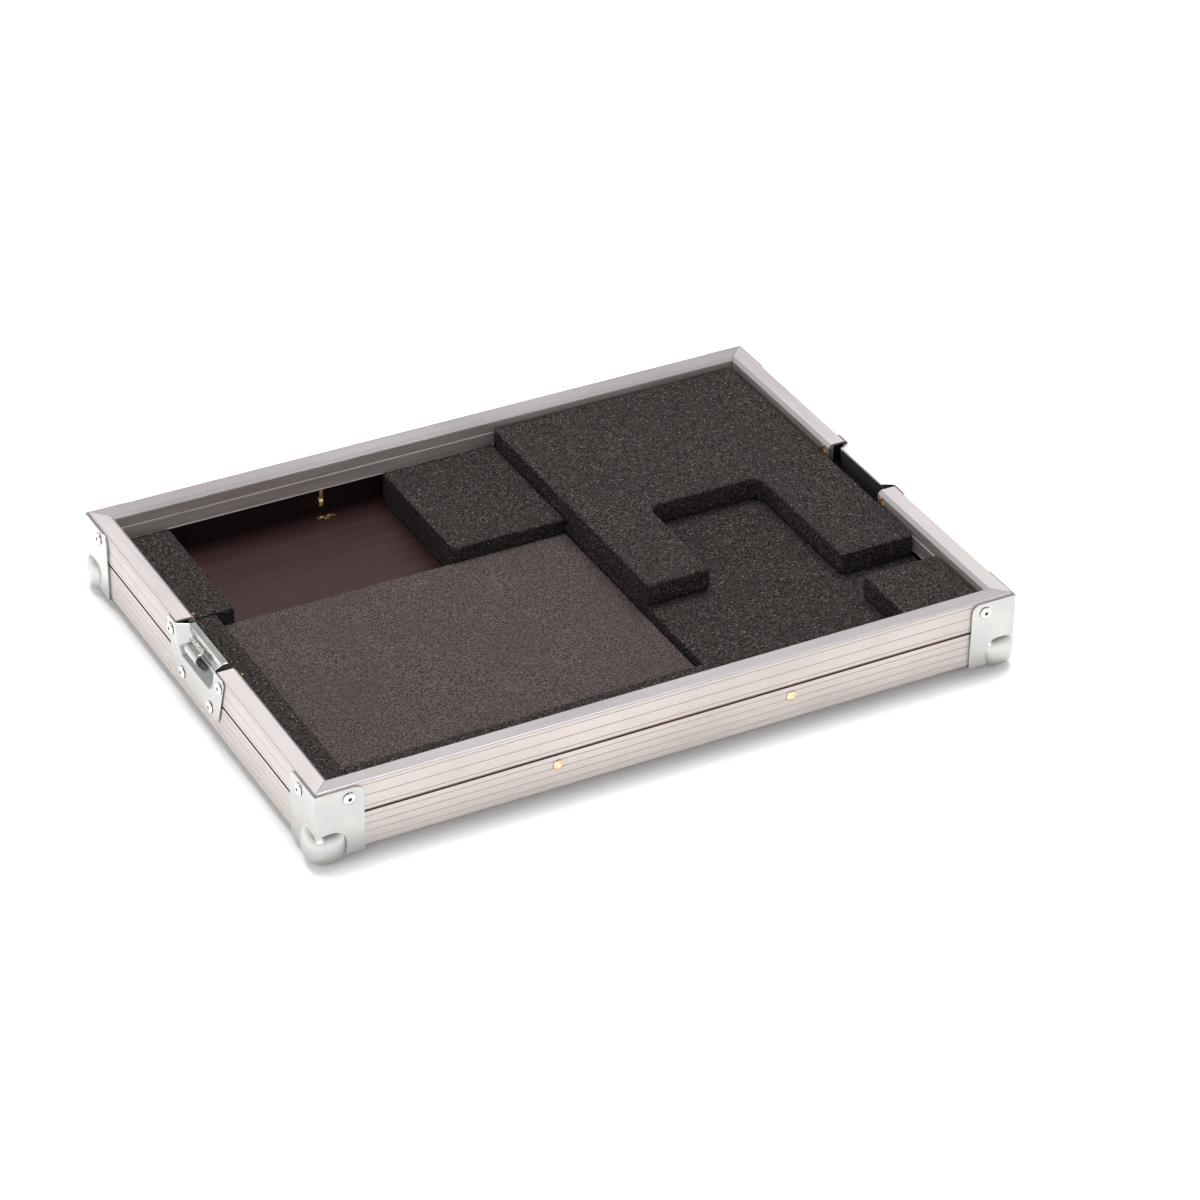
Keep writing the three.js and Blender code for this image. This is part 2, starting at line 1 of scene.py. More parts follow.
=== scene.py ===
"""Looks of the pedal case base: cut foam, satin and zinc metal, filmed plywood, studio and camera."""

import math

import bmesh
import bpy
from mathutils import Matrix, Vector, noise


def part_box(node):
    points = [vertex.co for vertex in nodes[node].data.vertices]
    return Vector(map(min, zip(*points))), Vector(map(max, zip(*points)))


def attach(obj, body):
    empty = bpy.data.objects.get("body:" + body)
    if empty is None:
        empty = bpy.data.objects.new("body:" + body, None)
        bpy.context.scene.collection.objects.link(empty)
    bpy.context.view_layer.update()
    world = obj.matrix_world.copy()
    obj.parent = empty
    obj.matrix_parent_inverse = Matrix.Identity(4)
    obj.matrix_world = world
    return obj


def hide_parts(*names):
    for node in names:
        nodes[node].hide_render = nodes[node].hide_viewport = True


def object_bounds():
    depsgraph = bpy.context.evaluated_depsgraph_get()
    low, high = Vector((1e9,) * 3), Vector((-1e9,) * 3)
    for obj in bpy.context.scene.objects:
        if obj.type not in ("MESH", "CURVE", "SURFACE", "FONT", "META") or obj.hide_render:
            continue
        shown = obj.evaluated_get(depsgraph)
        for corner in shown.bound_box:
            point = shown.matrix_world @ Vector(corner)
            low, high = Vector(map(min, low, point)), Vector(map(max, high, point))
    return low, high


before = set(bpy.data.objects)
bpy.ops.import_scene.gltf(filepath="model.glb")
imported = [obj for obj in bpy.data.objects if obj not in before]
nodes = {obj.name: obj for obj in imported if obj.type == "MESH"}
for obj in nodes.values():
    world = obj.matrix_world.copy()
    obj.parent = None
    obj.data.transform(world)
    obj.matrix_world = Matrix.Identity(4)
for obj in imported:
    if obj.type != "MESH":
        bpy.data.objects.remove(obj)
cad_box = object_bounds()

# Camera: lengths in metres, angles in degrees, lens and sensor in millimetres
camera_azimuth = -28.53
camera_elevation = 33.20
camera_roll = 1.00
camera_distance = 3.3954
camera_shift_right = -0.0444
camera_shift_up = -0.0102
camera_lens = 127.47
sensor_width = 36.0
nearest_seen = 0.1
farthest_seen = 50.0

# Studio: lengths in metres, powers in watts, heights in the sky as a share of straight up
floor_reach = 3.0
horizon_height = 0.05
horizon_light = 1.55
zenith_height = 0.8
zenith_light = 0.36
top_place = (0.5, 1.1, 3.8)
top_size = (3.2, 2.4)
top_power = 280.0
front_place = (-1.4, -1.6, 1.1)
front_size = (1.8, 1.4)
front_power = 12.0

# Reading the nodes' meshes: lengths in metres, and shares of a normal that count as facing a way
weld_gap = 1e-6
level_slack = 1e-5
facing = 0.9
half_facing = 0.5

# Foam pieces, in metres
foam_inset = 0.0001
foam_edge_radius = 0.0009
foam_edge_steps = 3
foam_voxel = 0.0018
foam_wave = 0.0005
foam_wave_length = 0.030
foam_grain = 0.0004
foam_grain_length = 0.0036

# Foam textures, as a share of the cells' own scale
fine_noise_scale = 1.7
highlight_fleck_scale = 1.35

# Pressed metal: lengths in metres, angles in degrees
dish_voxel = 0.0005
hook_voxel = 0.0004
rivet_voxel = 0.00028
bend_softness = 0.5
bend_rounds = 14
rivet_rounds = 4
plate_bevel = 0.0004
plate_bevel_steps = 2
plate_bevel_angle = 38.0
plate_sharp_angle = 50.0

# Ball corners, in metres
foot_height = 0.009
ball_radius = 0.0165
ball_inset = 0.010
ball_height = 0.0165
ball_fullness = 2.6
ball_facet_slack = 0.00025
ball_meridians = 96
ball_parallels = 48

# Hollow rivets, in metres
head_depth = 0.0017
bore_depth = 0.0022
bore_radius = 0.0016
leg_reach = 0.290
leg_fade = 0.001

# Lines on the profiles: levels and half widths in metres, and the share of a half width at full strength
groove_levels = (0.0149, 0.0216, 0.0283, 0.0349, 0.0445, 0.0540, 0.0636)
groove_half_width = 0.0006
# Level and half width of the painted shade along the top edge of the edge angles
edge_land_level = 0.0390
edge_land_half_width = 0.0005
line_core = 0.4

# Repeats per metre of the drawn and the grained surfaces' noise, along x, y and z
drawn_along_x = (14.0, 900.0, 900.0)
drawn_along_y = (900.0, 14.0, 900.0)
grain_along_x = (9.0, 180.0, 180.0)

# Colours of the metals, as linear red, green and blue
side_clean = (0.484, 0.432, 0.411)
side_smudged = (0.428, 0.381, 0.362)
side_lines = (0.507, 0.465, 0.444)
# Painted light in the profiles' grooves, paler than the side to lift the shade in them
groove_painted_light = (0.614, 0.549, 0.521)
# Painted shade along the top edge of the edge angles, below the recessed plywood strip
edge_land_shade = (0.085, 0.063, 0.059)
# Painted shading on the profiles' tops and chamfers: the same aluminium, coloured apart for how light
# falls on faces that look up
top_shading_along_x = (0.250, 0.230, 0.234)
chamfer_shading_along_x = (0.38, 0.355, 0.36)
top_shading_along_y = (0.360, 0.328, 0.327)
chamfer_shading_along_y = (0.335, 0.313, 0.316)
zinc_blue = (0.400, 0.415, 0.410)
zinc_straw = (0.465, 0.455, 0.430)
zinc_marks = (0.365, 0.378, 0.374)
nickel_bright = (0.72, 0.69, 0.67)
nickel_worn = (0.57, 0.54, 0.52)
leg_brass = (0.55, 0.33, 0.18)
brass_yellow = (0.80, 0.62, 0.40)
brass_copper = (0.55, 0.34, 0.20)
# Painted shade in the hollows of the rivets, with lighter speckles
bore_shade = (0.03, 0.024, 0.02)
bore_shade_speckle = (0.10, 0.075, 0.06)

# Colours of the plywood's film, dark and light in the grain and then in the clouds, and of the paper
film_colours = ((0.0203, 0.0092, 0.0092), (0.0238, 0.0109, 0.0109), (0.0268, 0.0128, 0.0128))
# Painted light: the outer faces' film, far paler than the same film indoors, to lift the shade in the
# recess between the profiles
outside_film_light_colours = ((0.23, 0.155, 0.147), (0.28, 0.193, 0.183), (0.31, 0.215, 0.205))
# Painted shade: the inner walls' film is darkened to this share of the floor's
wall_film_painted_shade = 0.4
paper_low = (0.92, 0.92, 0.92)
paper_high = (0.94, 0.94, 0.94)

# The two foams: cells per metre, colours with a painted highlight on some cells, share of cells with
# that painted highlight, and depth of the cells
coarse_foam = {
    "cell_scale": 450.0,
    "pore": (0.001, 0.0008, 0.0008),
    "wall": (0.030, 0.0237, 0.0218),
    "fleck_highlight": (0.22, 0.19, 0.178),
    "highlight_share": 0.30,
    "depth": 0.0018,
}
fine_foam = {
    "cell_scale": 540.0,
    "pore": (0.014, 0.0103, 0.0098),
    "wall": (0.062, 0.0472, 0.0456),
    "fleck_highlight": (0.22, 0.19, 0.18),
    "highlight_share": 0.16,
    "depth": 0.0009,
}


# Nodes of a material
class Surface:
    """A material under construction: its nodes, its links and its main shader."""

    def __init__(self, name):
        """Starts a material whose textures lie in the piece's own coordinates, in metres."""
        self.material = bpy.data.materials.new(name)
        self.material.use_nodes = True
        self.tree = self.material.node_tree
        self.shader = self.tree.nodes["Principled BSDF"]
        self.place = self.add("ShaderNodeTexCoord").outputs["Object"]

    def add(self, kind, **settings):
        """A new node of a kind, with its settings."""
        node = self.tree.nodes.new(kind)
        for key, value in settings.items():
            setattr(node, key, value)
        return node

    def link(self, source, target):
        """Links an output to an input."""
        self.tree.links.new(source, target)

    def set(self, **values):
        """Sets the main shader's own numbers."""
        for key, value in values.items():
            self.shader.inputs[key.replace("_", " ")].default_value = value

    def scaled(self, scale):
        """The piece's coordinates, scaled by a number for each axis."""
        mapping = self.add("ShaderNodeMapping")
        mapping.inputs["Scale"].default_value = scale
        self.link(self.place, mapping.inputs["Vector"])
        return mapping.outputs["Vector"]

    def noise(self, scale, detail, stretch=None):
        """Cloudy noise, drawn out along an axis where a stretch is given."""
        texture = self.add("ShaderNodeTexNoise")
        texture.inputs["Scale"].default_value = scale
        texture.inputs["Detail"].default_value = detail
        self.link(self.scaled(stretch) if stretch else self.place, texture.inputs["Vector"])
        return texture.outputs["Fac"]

    def cells(self, scale, output="Distance"):
        """Cells about scattered points: the distance from the nearest, or its colour."""
        texture = self.add("ShaderNodeTexVoronoi")
        texture.inputs["Scale"].default_value = scale
        self.link(self.place, texture.inputs["Vector"])
        return texture.outputs[output]

    def axis(self, vector, axis):
        """One of a vector's three numbers."""
        split = self.add("ShaderNodeSeparateXYZ")
        self.link(vector, split.inputs["Vector"])
        return split.outputs[axis]

    def magnitude(self, value):
        """A value without its sign."""
        positive = self.add("ShaderNodeMath", operation="ABSOLUTE")
        self.link(value, positive.inputs[0])
        return positive.outputs["Value"]

    def span(self, value, low, high, to_low=0.0, to_high=1.0):
        """Carries a value's span from low to high smoothly over to another span."""
        remap = self.add("ShaderNodeMapRange", interpolation_type="SMOOTHSTEP")
        remap.inputs["From Min"].default_value = low
        remap.inputs["From Max"].default_value = high
        remap.inputs["To Min"].default_value = to_low
        remap.inputs["To Max"].default_value = to_high
        self.link(value, remap.inputs["Value"])
        return remap.outputs["Result"]

    def combine(self, first, second, operation):
        """Two values, or a value and a number, in one operation."""
        result = self.add("ShaderNodeMath", operation=operation, use_clamp=operation != "SUBTRACT")
        for socket, value in zip(result.inputs, (first, second)):
            if isinstance(value, float):
                socket.default_value = value
            else:
                self.link(value, socket)
        return result.outputs["Value"]

    def blend(self, share, first, second):
        """The second colour over the first, by its share. Each is a colour or an output."""
        mix = self.add("ShaderNodeMix", data_type="RGBA")
        self.link(share, mix.inputs["Factor"])
        sockets = [socket for socket in mix.inputs if socket.type == "RGBA"]
        for socket, value in zip(sockets, (first, second)):
            if isinstance(value, tuple):
                socket.default_value = (*value, 1.0)
            else:
                self.link(value, socket)
        return next(socket for socket in mix.outputs if socket.type == "RGBA")

    def facing_up(self, low, high):
        """One on faces whose normal's height is above high, zero below low."""
        geometry = self.add("ShaderNodeNewGeometry")
        return self.span(self.axis(geometry.outputs["Normal"], "Z"), low, high)

    def near_level(self, level, half_width):
        """One near a level above the floor, fading to zero at its half width."""
        gap = self.magnitude(self.combine(self.axis(self.place, "Z"), level, "SUBTRACT"))
        return self.span(gap, half_width * line_core, half_width, to_low=1.0, to_high=0.0)

    def colour(self, source):
        """Makes an output the main shader's colour."""
        self.link(source, self.shader.inputs["Base Color"])

    def roughness(self, source):
        """Makes an output the main shader's roughness."""
        self.link(source, self.shader.inputs["Roughness"])

    def bump(self, height, strength, distance):
        """Makes an output the surface's relief, its distance in metres."""
        relief = self.add("ShaderNodeBump")
        relief.inputs["Strength"].default_value = strength
        relief.inputs["Distance"].default_value = distance
        self.link(height, relief.inputs["Height"])
        self.link(relief.outputs["Normal"], self.shader.inputs["Normal"])


def groove_mask(surface):
    """One in the fine grooves of the profiles, zero between them."""
    mask = surface.near_level(groove_levels[0], groove_half_width)
    for level in groove_levels[1:]:
        mask = surface.combine(mask, surface.near_level(level, groove_half_width), "MAXIMUM")
    return mask


# Materials
def aluminium(name, stretch, top, chamfer_shading):
    """Satin anodised extrusion: draw lines and smudges, painted shading on the tops and chamfers,
    painted light in the grooves, and painted shade along the top edge of the edge angles.
    """
    surface = Surface(name)
    surface.set(Metallic=0.8)
    lines = surface.noise(scale=1.0, detail=4.0, stretch=stretch)
    smudge = surface.noise(scale=9.0, detail=4.0)
    skin = surface.blend(surface.span(smudge, low=0.35, high=0.7), side_clean, side_smudged)
    skin = surface.blend(surface.span(lines, low=0.3, high=0.75), skin, side_lines)
    # Painted shading: faces that look up take the chamfer's and then the top's colour, for how light
    # falls on them
    skin = surface.blend(surface.facing_up(low=0.30, high=0.60), skin, chamfer_shading)
    skin = surface.blend(surface.facing_up(low=0.85, high=0.97), skin, top)
    # Painted shade: a dark line along the top edge of the edge angles
    skin = surface.blend(surface.near_level(edge_land_level, edge_land_half_width), skin, edge_land_shade)
    # Painted light: the grooves take a colour paler than the side, to lift the shade in them
    surface.colour(surface.blend(groove_mask(surface), skin, groove_painted_light))
    wear = surface.combine(lines, smudge, "MULTIPLY")
    surface.roughness(surface.span(wear, low=0.1, high=0.45, to_low=0.38, to_high=0.56))
    surface.bump(lines, strength=0.06, distance=0.0002)
    return surface.material


def zinc(name):
    """Bright zinc plate: large soft tints of blue and straw, and light handling marks."""
    surface = Surface(name)
    surface.set(Metallic=0.95)
    tint = surface.noise(scale=38.0, detail=2.0)
    marks = surface.noise(scale=260.0, detail=5.0)
    skin = surface.blend(surface.span(tint, low=0.35, high=0.65), zinc_blue, zinc_straw)
    marked = surface.span(marks, low=0.4, high=0.8, to_high=0.15)
    surface.colour(surface.blend(marked, skin, zinc_marks))
    surface.roughness(surface.span(marks, low=0.3, high=0.7, to_low=0.15, to_high=0.22))
    surface.bump(surface.noise(scale=55.0, detail=2.0), strength=0.03, distance=0.0006)
    return surface.material


def rivet_steel(name, brass_legs):
    """Nickel plated rivet: bright, worn in small patches, its curled legs bare brass if asked."""
    surface = Surface(name)
    surface.set(Metallic=0.95)
    marks = surface.noise(scale=700.0, detail=3.0)
    skin = surface.blend(surface.span(marks, low=0.4, high=0.7), nickel_bright, nickel_worn)
    if brass_legs:
        away = surface.magnitude(surface.axis(surface.place, "X"))
        legs = surface.span(away, leg_reach - leg_fade, leg_reach, to_low=1.0, to_high=0.0)
        skin = surface.blend(legs, skin, leg_brass)
    surface.colour(skin)
    surface.roughness(surface.span(marks, low=0.3, high=0.7, to_low=0.18, to_high=0.34))
    surface.bump(marks, strength=0.1, distance=0.0002)
    return surface.material


def brass(name):
    """Dull brass with coppery patches."""
    surface = Surface(name)
    surface.set(Metallic=0.95)
    marks = surface.noise(scale=320.0, detail=3.0)
    surface.colour(surface.blend(surface.span(marks, low=0.4, high=0.65), brass_yellow, brass_copper))
    surface.roughness(surface.span(marks, low=0.3, high=0.7, to_low=0.22, to_high=0.38))
    surface.bump(marks, strength=0.15, distance=0.0003)
    return surface.material


def bore_painted_shade(name):
    """Painted shade for the hollow of a rivet, speckled a little lighter."""
    surface = Surface(name)
    surface.set(Metallic=0.4)
    speckle = surface.noise(scale=900.0, detail=2.0)
    surface.colour(surface.blend(speckle, bore_shade, bore_shade_speckle))
    surface.roughness(surface.span(speckle, low=0.3, high=0.7, to_low=0.5, to_high=0.7))
    return surface.material


def plywood_film(name, colours, painted_shade=1.0):
    """Phenolic film on birch plywood: red brown and satin, with a faint line grain below the film, its
    colours scaled by a painted shade that darkens the inner walls.
    """
    surface = Surface(name)
    surface.set(Metallic=0.0, Specular_IOR_Level=0.15)
    grain = surface.noise(scale=1.0, detail=4.0, stretch=grain_along_x)
    cloud = surface.noise(scale=7.0, detail=2.0)
    # Painted shade: the colours are scaled by a share below one on the inner walls
    dark, light, cloudy = (tuple(painted_shade * channel for channel in colour) for colour in colours)
    skin = surface.blend(surface.span(grain, low=0.3, high=0.7), dark, light)
    clouded = surface.span(cloud, low=0.3, high=0.7, to_high=0.5)
    surface.colour(surface.blend(clouded, skin, cloudy))
    surface.roughness(surface.span(grain, low=0.3, high=0.7, to_low=0.28, to_high=0.36))
    surface.bump(grain, strength=0.05, distance=0.0002)
    return surface.material


def foam(name, cell_scale, pore, wall, fleck_highlight, highlight_share, depth):
    """Cut foam: dark pores between lighter cell walls, and painted highlights on a few cells, where cut
    skins would catch the light.
    """
    surface = Surface(name)
    surface.set(Metallic=0.0, Specular_IOR_Level=0.12)
    cell = surface.cells(cell_scale)
    fine = surface.noise(scale=cell_scale * fine_noise_scale, detail=2.0)
    rough_cell = surface.combine(cell, surface.combine(fine, 0.5, "MULTIPLY"), "ADD")
    skin = surface.blend(surface.span(rough_cell, low=0.50, high=0.84), pore, wall)
    between = tuple(0.5 * (dark + light) for dark, light in zip(pore, wall))
    cloud = surface.span(surface.noise(scale=22.0, detail=3.0), low=0.3, high=0.7, to_high=0.35)
    skin = surface.blend(cloud, skin, between)
    # Painted highlight: a few cells take a pale colour where their cut skins would catch the light
    highlight_flecks = highlight_mask(surface, cell_scale * highlight_fleck_scale, highlight_share)
    surface.colour(surface.blend(highlight_flecks, skin, fleck_highlight))
    surface.roughness(surface.span(fine, low=0.3, high=0.7, to_low=0.82, to_high=0.98))
    height = surface.combine(surface.span(cell, low=0.05, high=0.75), fine, "MULTIPLY")
    surface.bump(height, strength=0.9, distance=depth)
    return surface.material


def highlight_mask(surface, scale, share):
    """One in the middle of a share of the cells, fading to zero around it: where the foam's painted
    highlights go.
    """
    pick = surface.add("ShaderNodeSeparateColor")
    surface.link(surface.cells(scale, "Color"), pick.inputs["Color"])
    chosen = surface.span(pick.outputs["Red"], 1.0 - share, 1.0)
    middle = surface.span(surface.cells(scale), low=0.12, high=0.42, to_low=1.0, to_high=0.0)
    return surface.combine(chosen, middle, "MULTIPLY")


def paper_white(name):
    """Seamless studio paper with a barely visible tooth."""
    surface = Surface(name)
    surface.set(Metallic=0.0, Specular_IOR_Level=0.1)
    tooth = surface.noise(scale=60.0, detail=4.0)
    surface.colour(surface.blend(tooth, paper_low, paper_high))
    surface.roughness(surface.span(tooth, low=0.3, high=0.7, to_low=0.8, to_high=0.95))
    return surface.material


# Meshes
def new_piece(name, data):
    """A new object in the scene, with its mesh, lamp or lens."""
    piece = bpy.data.objects.new(name, data)
    bpy.context.scene.collection.objects.link(piece)
    return piece


def apply_modifiers(piece):
    """Puts the mesh that a piece's modifiers make in place of its first mesh, and drops them."""
    first = piece.data
    graph = bpy.context.evaluated_depsgraph_get()
    shaped = bpy.data.meshes.new_from_object(piece.evaluated_get(graph))
    piece.modifiers.clear()
    piece.data = shaped
    bpy.data.meshes.remove(first)


def is_on_end(node_name):
    """True on the left and right walls. A name's third word is its wall, as in edge_profile_left."""
    return node_name.split("_")[2] in ("left", "right")


# Materials of the CAD nodes, which the finished copies take over
def finish_node(node_name, material):
    """Gives a node one material."""
    piece = nodes[node_name]
    piece.data.materials.clear()
    piece.data.materials.append(material)


def cover_outside(node_name, material):
    """Gives a wall panel's outer face its own paler film, painted light that lifts the shade in the
    recess between the profiles.
    """
    piece = nodes[node_name]
    piece.data.materials.append(material)
    low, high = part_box(node_name)
    across = 0 if is_on_end(node_name) else 1
    outwards = math.copysign(1.0, low[across] + high[across])
    for polygon in piece.data.polygons:
        if polygon.normal[across] * outwards > facing:
            polygon.material_index = 1


def finish_profiles():
    """Satin aluminium, drawn along each bar, with painted shading on the tops and chamfers that differs
    between the front and rear bars and the end bars.
    """
    along_x = aluminium("aluminium_along_x", drawn_along_x, top_shading_along_x, chamfer_shading_along_x)
    along_y = aluminium("aluminium_along_y", drawn_along_y, top_shading_along_y, chamfer_shading_along_y)
    for node_name in nodes:
        if "_profile_" in node_name:
            finish_node(node_name, along_y if is_on_end(node_name) else along_x)


def finish_fittings_and_panels():
    """Rivets, corners, dishes, hooks and plywood, by how their nodes' names start."""
    materials = {
        "latch_rivet_": rivet_steel("rivet_steel_latch", brass_legs=True),
        "corner_rivet_": rivet_steel("rivet_steel_corner", brass_legs=False),
        "split_rivet_": brass("brass"),
        "floor_rivet_": brass("brass_floor"),
        "ball_corner_": zinc("zinc_corner"),
        "latch_dish_": zinc("zinc_dish"),
        "latch_hook_": zinc("zinc_hook"),
        "wall_panel_": plywood_film("plywood_wall", film_colours, wall_film_painted_shade),
        "floor_panel": plywood_film("plywood_floor", film_colours),
    }
    # Painted light: the outer faces take a far paler copy of the film
    outside_film_light = plywood_film("plywood_outside", outside_film_light_colours)
    for node_name in nodes:
        for start, material in materials.items():
            if node_name.startswith(start):
                finish_node(node_name, material)
        if node_name.startswith("wall_panel_"):
            cover_outside(node_name, outside_film_light)


# Finished copies of the pressed metal nodes
def finished_copy(node_name):
    """A copy of a metal node, still to be shaped."""
    return new_piece(node_name + "_finished", nodes[node_name].data.copy())


def pressed(node_name, voxel, rounds):
    """A copy of a pressed node whose bends run smoothly into each other, which stands for the node."""
    piece = finished_copy(node_name)
    grid = piece.modifiers.new("Grid", "REMESH")
    grid.mode = "VOXEL"
    grid.voxel_size = voxel
    bends = piece.modifiers.new("Bends", "SMOOTH")
    bends.factor = bend_softness
    bends.iterations = rounds
    apply_modifiers(piece)
    piece.data.shade_smooth()
    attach(piece, "root")
    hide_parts(node_name)
    return piece


def softened(node_name):
    """A copy of a ball corner with its plates' edges rounded, which stands for the node."""
    piece = finished_copy(node_name)
    bevel = piece.modifiers.new("Pressed_edge", "BEVEL")
    bevel.width = plate_bevel
    bevel.segments = plate_bevel_steps
    bevel.limit_method = "ANGLE"
    bevel.angle_limit = math.radians(plate_bevel_angle)
    bevel.use_clamp_overlap = True
    bevel.harden_normals = True
    apply_modifiers(piece)
    piece.data.shade_smooth()
    piece.data.set_sharp_from_angle(angle=math.radians(plate_sharp_angle))
    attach(piece, "root")
    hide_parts(node_name)
    return piece


def full_ball(work, centre):
    """Adds a ball that is fuller between the axes than a sphere, and gives its vertices."""
    before = set(work.verts)
    bmesh.ops.create_uvsphere(work, u_segments=ball_meridians, v_segments=ball_parallels,
                              radius=ball_radius)
    ball = [vertex for vertex in work.verts if vertex not in before]
    for vertex in ball:
        shares = [abs(reach) / ball_radius for reach in vertex.co]
        fullness = sum(share ** ball_fullness for share in shares) ** (1.0 / ball_fullness)
        vertex.co = centre + vertex.co / fullness
    return ball


def round_ball(mesh, node_name):
    """Puts a smooth ball in place of the facets of a ball corner, open where the plates are."""
    signs = {"left": -1.0, "right": 1.0, "front": -1.0, "rear": 1.0}
    depth, across = (signs[word] for word in node_name.split("_")[2:])
    plates_x = across * (cad_box[1].x - ball_radius + ball_inset)
    plates_y = depth * (cad_box[1].y - ball_radius + ball_inset)
    corner = Vector((plates_x, plates_y, foot_height))
    inwards = Vector((-across, -depth, 1.0))
    centre = corner + Vector((-across * ball_inset, -depth * ball_inset, ball_height - foot_height))
    work = bmesh.new()
    work.from_mesh(mesh)
    facets = [face for face in work.faces
              if all(abs((v.co - centre).length - ball_radius) < ball_facet_slack for v in face.verts)]
    bmesh.ops.delete(work, geom=facets, context="FACES")
    ball = full_ball(work, centre)
    hidden = [v for v in ball if min((v.co[i] - corner[i]) * inwards[i] for i in range(3)) > 0.0]
    bmesh.ops.delete(work, geom=hidden, context="VERTS")
    for face in work.faces:
        face.smooth = True
    work.to_mesh(mesh)
    work.free()


def open_bore(piece, node_name, material):
    """Gives the faces inside a hollow rivet's head painted shade, a dark material of their own."""
    piece.data.materials.append(material)
    low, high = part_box(node_name)
    across = 0 if is_on_end(node_name) else 1
    plan = (1 - across, 2)
    outer = high[across] if low[across] > 0 else low[across]
    head = [v.co for v in piece.data.vertices if abs(v.co[across] - outer) < head_depth]
    middle = [0.5 * (min(place[i] for place in head) + max(place[i] for place in head)) for i in plan]
    for polygon in piece.data.polygons:
        away = math.hypot(*(polygon.center[i] - m for i, m in zip(plan, middle)))
        if away < bore_radius and abs(polygon.center[across] - outer) < bore_depth:
            polygon.material_index = 1


def finish_pressed_metal():
    """Smooth copies of the ball corners, dishes, hooks and hollow rivets."""
    bore = bore_painted_shade("rivet_bore_shade")
    for node_name in list(nodes):
        if node_name.startswith("ball_corner_"):
            round_ball(softened(node_name).data, node_name)
        if node_name.startswith("latch_dish_"):
            pressed(node_name, dish_voxel, bend_rounds)
        if node_name.startswith("latch_hook_"):
            pressed(node_name, hook_voxel, bend_rounds)
        if node_name.startswith(("corner_rivet_", "latch_rivet_")):
            rivet = pressed(node_name, rivet_voxel, rivet_rounds)
            open_bore(rivet, node_name, bore)


# Foam pieces
def ring_of(node_name):
    """The outline of a foam node's top face, in order, from its own mesh."""
    mesh = nodes[node_name].data
    top = max(vertex.co.z for vertex in mesh.vertices)
    work = bmesh.new()
    work.from_mesh(mesh)
    bmesh.ops.remove_doubles(work, verts=work.verts, dist=weld_gap)
    upward = [face for face in work.faces if face.normal.z > facing]
    lids = [face for face in upward if abs(face.calc_center_median().z - top) < level_slack]
    steps = {}
    for face in lids:
        for loop in face.loops:
            beside = [other for other in loop.edge.link_faces if other in lids]
            if len(beside) == 1:
                steps[loop.vert.index] = (loop.link_loop_next.vert.index, loop.vert.co.x, loop.vert.co.y)
    work.free()
    ring = []
    start = next(iter(steps))
    at = start
    while at != start or not ring:
        at, x, y = steps[at]
        ring.append((x, y))
    return ring


def cut_sheet(node_name):
    """A straight sheet on a foam node's outline, its upper and upright edges rounded."""
    low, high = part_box(node_name)
    work = bmesh.new()
    base = work.faces.new([work.verts.new((x, y, low.z + foam_inset)) for x, y in ring_of(node_name)])
    base.normal_update()
    raised = bmesh.ops.extrude_face_region(work, geom=[base])
    lifted = [part for part in raised["geom"] if isinstance(part, bmesh.types.BMVert)]
    bmesh.ops.translate(work, verts=lifted, vec=(0.0, 0.0, high.z - low.z - 2.0 * foam_inset))
    bmesh.ops.recalc_face_normals(work, faces=work.faces)
    near_top = high.z - 2.5 * foam_inset
    rims = [edge for edge in work.edges if any(vertex.co.z > near_top for vertex in edge.verts)]
    bmesh.ops.bevel(work, geom=rims, offset=foam_edge_radius, segments=foam_edge_steps,
                    affect="EDGES", profile=0.5)
    mesh = bpy.data.meshes.new(node_name + "_cut")
    work.to_mesh(mesh)
    work.free()
    return mesh


def foam_block(node_name):
    """A sheet of foam cut to its node's outline, with softened and slightly wavy edges."""
    piece = new_piece(node_name + "_cut", cut_sheet(node_name))
    remesh = piece.modifiers.new("Cells", "REMESH")
    remesh.mode = "VOXEL"
    remesh.voxel_size = foam_voxel
    apply_modifiers(piece)
    roughen(piece.data, *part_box(node_name))
    return piece


def roughen(mesh, low, high):
    """Roughness of the cells and a slow wave of the cut, always inwards, none on the underside."""
    shifts = []
    for vertex in mesh.vertices:
        wave = 0.5 + 0.5 * noise.noise(vertex.co / foam_wave_length)
        grain = 0.5 + 0.5 * noise.noise(vertex.co / foam_grain_length)
        depth = foam_wave * wave + foam_grain * grain
        if vertex.normal.z < -half_facing:
            depth = 0.0
        shifts.append(vertex.normal * -depth)
    for vertex, shift in zip(mesh.vertices, shifts):
        place = vertex.co + shift
        vertex.co = Vector(min(max(place[i], low[i]), high[i]) for i in range(3))
    mesh.shade_smooth()


def place_foam():
    """A cut sheet for each foam node, fine foam for the middle pad and coarse foam for the others."""
    coarse = foam("coarse_foam", **coarse_foam)
    fine = foam("fine_foam", **fine_foam)
    for node_name in [name for name in nodes if name.startswith("foam_")]:
        piece = foam_block(node_name)
        is_pad = node_name == "foam_middle_pad"
        piece.data.materials.clear()
        piece.data.materials.append(fine if is_pad else coarse)
        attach(piece, "root")
        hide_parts(node_name)


# Studio
def place_floor():
    """A wide sheet of white paper under the case."""
    mesh = bpy.data.meshes.new("studio_floor")
    work = bmesh.new()
    bmesh.ops.create_grid(work, x_segments=2, y_segments=2, size=floor_reach)
    work.to_mesh(mesh)
    work.free()
    mesh.materials.append(paper_white("studio_paper"))
    floor = new_piece("studio_floor", mesh)


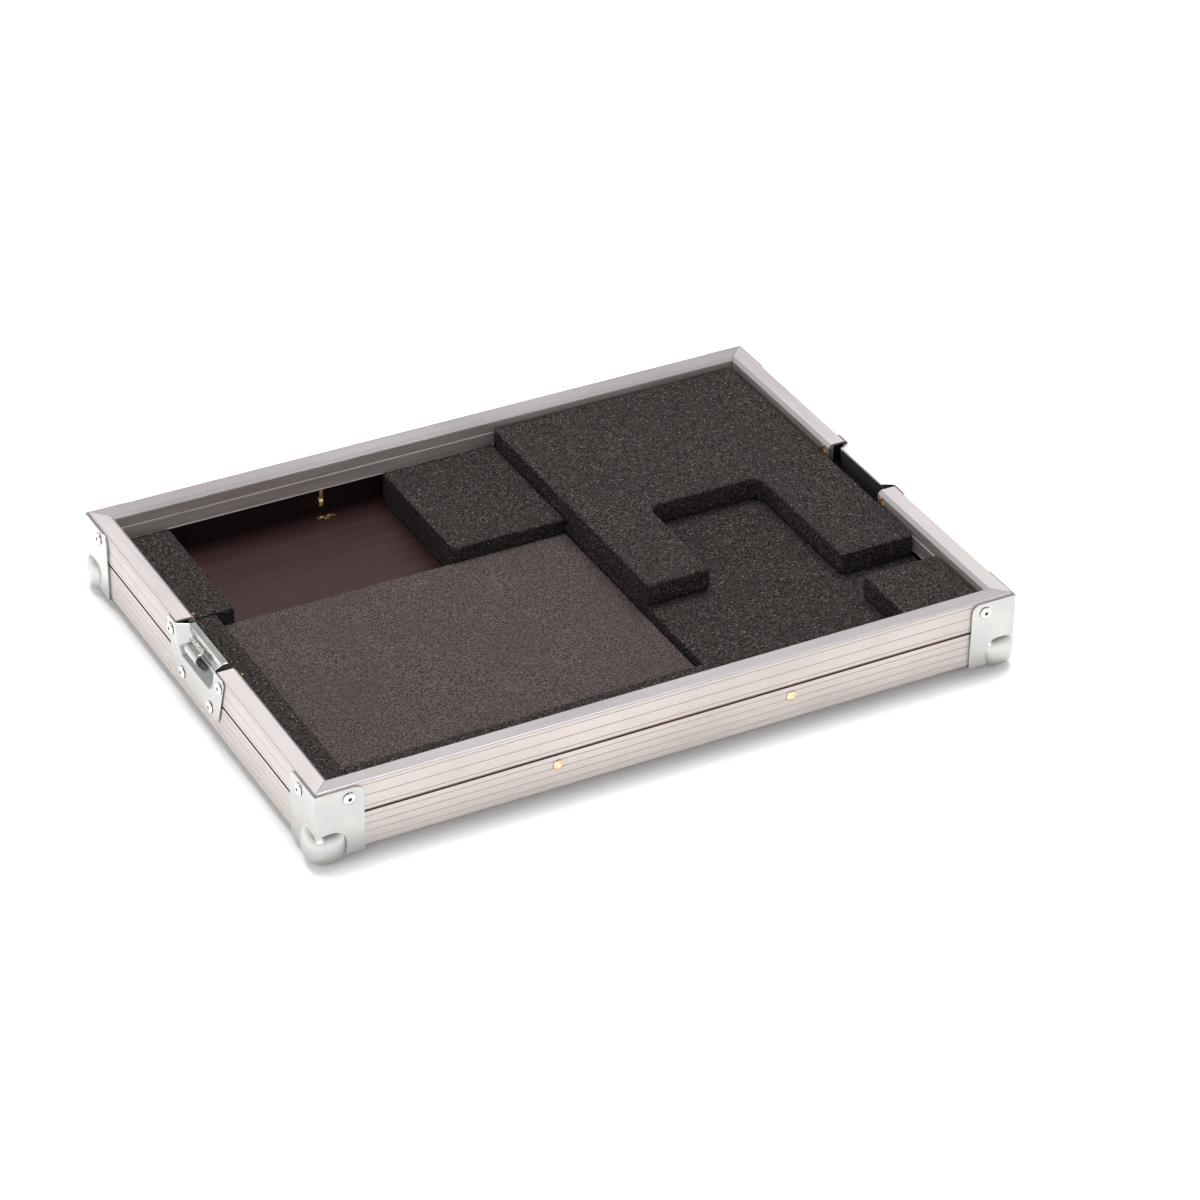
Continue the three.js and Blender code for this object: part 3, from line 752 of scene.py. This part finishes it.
def place_sky():
    """A studio that is pale at the horizon and darker overhead."""
    world = bpy.data.worlds.new("studio")
    world.use_nodes = True
    sky = world.node_tree
    around = sky.nodes.new("ShaderNodeTexCoord")
    split = sky.nodes.new("ShaderNodeSeparateXYZ")
    fade = sky.nodes.new("ShaderNodeMapRange")
    fade.interpolation_type = "SMOOTHSTEP"
    fade.inputs["From Min"].default_value = horizon_height
    fade.inputs["From Max"].default_value = zenith_height
    fade.inputs["To Min"].default_value = horizon_light
    fade.inputs["To Max"].default_value = zenith_light
    background = sky.nodes["Background"]
    background.inputs["Color"].default_value = (1.0, 1.0, 1.0, 1.0)
    sky.links.new(around.outputs["Generated"], split.inputs["Vector"])
    sky.links.new(split.outputs["Z"], fade.inputs["Value"])
    sky.links.new(fade.outputs["Result"], background.inputs["Strength"])
    bpy.context.scene.world = world


def soft_light(name, place, size, power):
    """A wide rectangular lamp that faces the middle of the floor."""
    lamp = bpy.data.lights.new(name, "AREA")
    lamp.shape = "RECTANGLE"
    lamp.size, lamp.size_y = size
    lamp.energy = power
    light = new_piece(name, lamp)
    light.location = place
    light.rotation_euler = (-Vector(place)).to_track_quat("-Z", "Y").to_euler()


def place_camera():
    """The photograph's own view, fitted to the case's corners."""
    azimuth = math.radians(camera_azimuth)
    elevation = math.radians(camera_elevation)
    roll = math.radians(camera_roll)
    level_share = math.cos(elevation)
    ahead = Vector((
        -math.sin(azimuth) * level_share,
        math.cos(azimuth) * level_share,
        -math.sin(elevation),
    ))
    level = ahead.cross(Vector((0.0, 0.0, 1.0))).normalized()
    upright = level.cross(ahead)
    right = math.cos(roll) * level + math.sin(roll) * upright
    up = -math.sin(roll) * level + math.cos(roll) * upright
    lens = bpy.data.cameras.new("camera")
    lens.sensor_width = sensor_width
    lens.lens = camera_lens
    lens.clip_start = nearest_seen
    lens.clip_end = farthest_seen
    camera = new_piece("camera", lens)
    turn = Matrix((right, up, -ahead)).transposed()
    place = -camera_shift_right * right - camera_shift_up * up - camera_distance * ahead
    camera.matrix_world = Matrix.Translation(place + Vector((0.0, 0.0, foot_height))) @ turn.to_4x4()
    bpy.context.scene.camera = camera


place_camera()
place_sky()
soft_light("top_light", top_place, top_size, top_power)
soft_light("front_light", front_place, front_size, front_power)
place_floor()
finish_profiles()
finish_fittings_and_panels()
finish_pressed_metal()
place_foam()
bpy.context.scene.view_settings.view_transform = "Standard"
